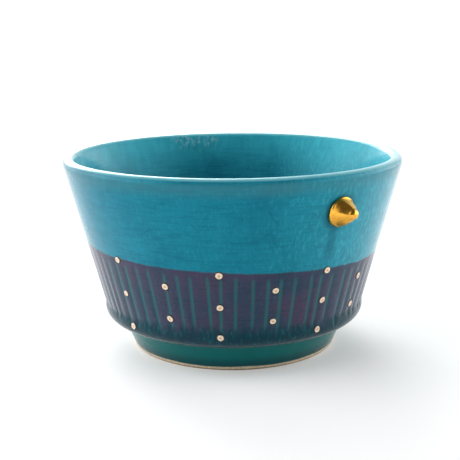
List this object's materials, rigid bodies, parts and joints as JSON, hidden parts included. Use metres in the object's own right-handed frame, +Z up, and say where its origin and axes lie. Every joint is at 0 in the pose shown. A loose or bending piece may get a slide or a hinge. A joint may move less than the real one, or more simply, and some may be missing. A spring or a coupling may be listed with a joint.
{
  "type": "dessert cup",
  "caption": "Flaring hollow ceramic dessert cup on a turned foot ring, turquoise glaze above a dark striped band with raised pale dots, and a small gold-lustred cone on the wall.",
  "frame": {"origin": "centre of the foot ring on the surface that the cup stands on", "axes": "+Z up along the cup's axis, -Y towards the front of the picture, with the gold cone 36 degrees round from there towards +X"},
  "size_m": [0.115, 0.115, 0.066],
  "materials": {
    "glazed_stoneware": "glossy turquoise glaze, dark violet band with scratched stripes, bare cream clay at the foot",
    "gold_lustre": "fired gold lustre, bright and slightly uneven",
    "cream_slip": "satin cream slip, a little browner at the middle of each dot"
  },
  "bodies": {
    "root": {"cup_body": "glazed_stoneware", "gold_cone": "gold_lustre"}
  },
  "joints": []
}
